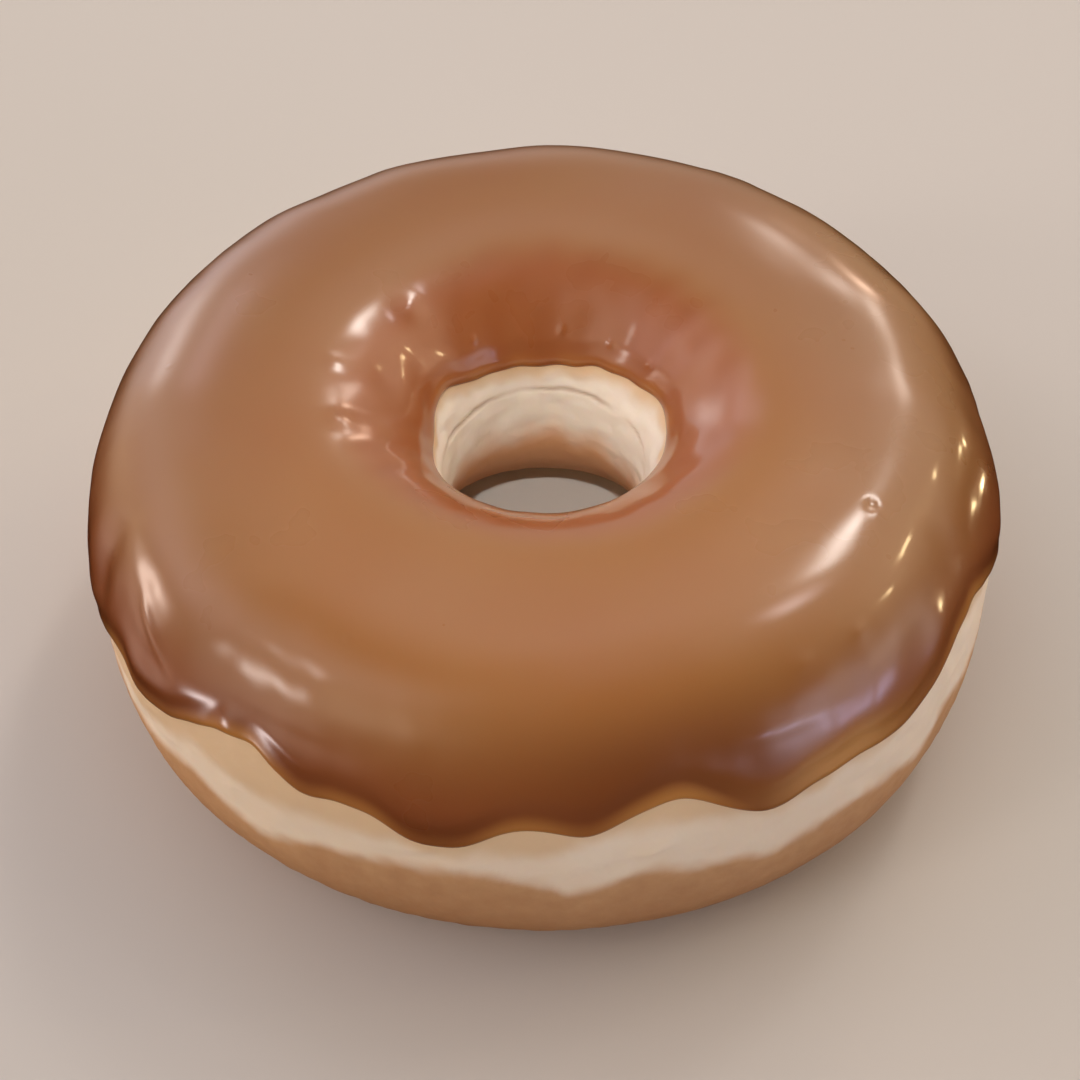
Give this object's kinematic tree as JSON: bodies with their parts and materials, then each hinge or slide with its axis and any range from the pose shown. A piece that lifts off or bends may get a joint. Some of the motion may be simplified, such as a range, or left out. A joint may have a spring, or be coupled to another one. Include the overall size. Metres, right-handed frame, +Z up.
{
  "type": "ring doughnut",
  "caption": "Round fried yeast doughnut with a hole through its middle and a glossy caramel icing coat over its upper half.",
  "frame": {"origin": "on the surface the doughnut rests on, under the middle of its hole", "axes": "+Z up through the hole, +X to the right, -Y to the front, where the icing's edge rises and falls the most"},
  "size_m": [0.0914, 0.0907, 0.0343],
  "materials": {
    "fried_dough": "soft matte crust",
    "caramel_icing": "smooth glossy"
  },
  "bodies": {
    "root": {"dough_ring": "fried_dough", "icing": "caramel_icing"}
  },
  "joints": []
}
